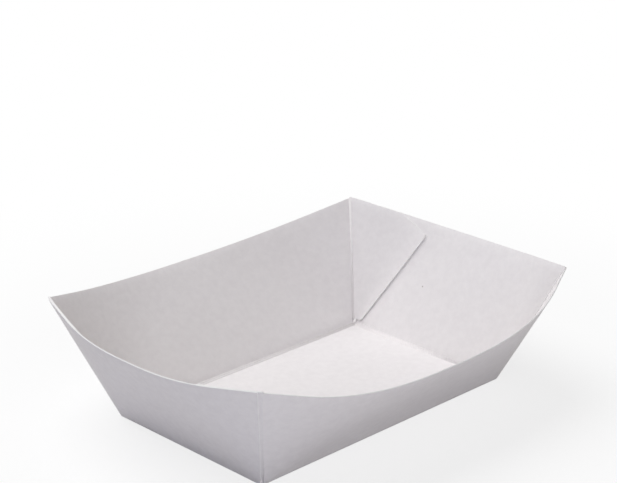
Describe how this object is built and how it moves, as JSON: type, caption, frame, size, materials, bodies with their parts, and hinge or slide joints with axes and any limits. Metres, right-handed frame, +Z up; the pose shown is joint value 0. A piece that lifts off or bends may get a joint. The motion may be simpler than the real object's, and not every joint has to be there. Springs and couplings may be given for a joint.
{
  "type": "paper food tray",
  "caption": "Open folded paper food tray with a flat base, bowed flared walls, pointed corners and gusset flaps glued inside the short walls.",
  "frame": {"origin": "middle of the underside of the base, on the surface that the tray stands on", "axes": "+X along the long walls, +Y along the short walls, +Z up out of the open top"},
  "size_m": [0.171, 0.1394, 0.0459],
  "materials": {
    "paperboard": "plain white uncoated board with a faint mottle, matt, folded and glued"
  },
  "bodies": {
    "root": {"tray": "paperboard"}
  },
  "joints": []
}
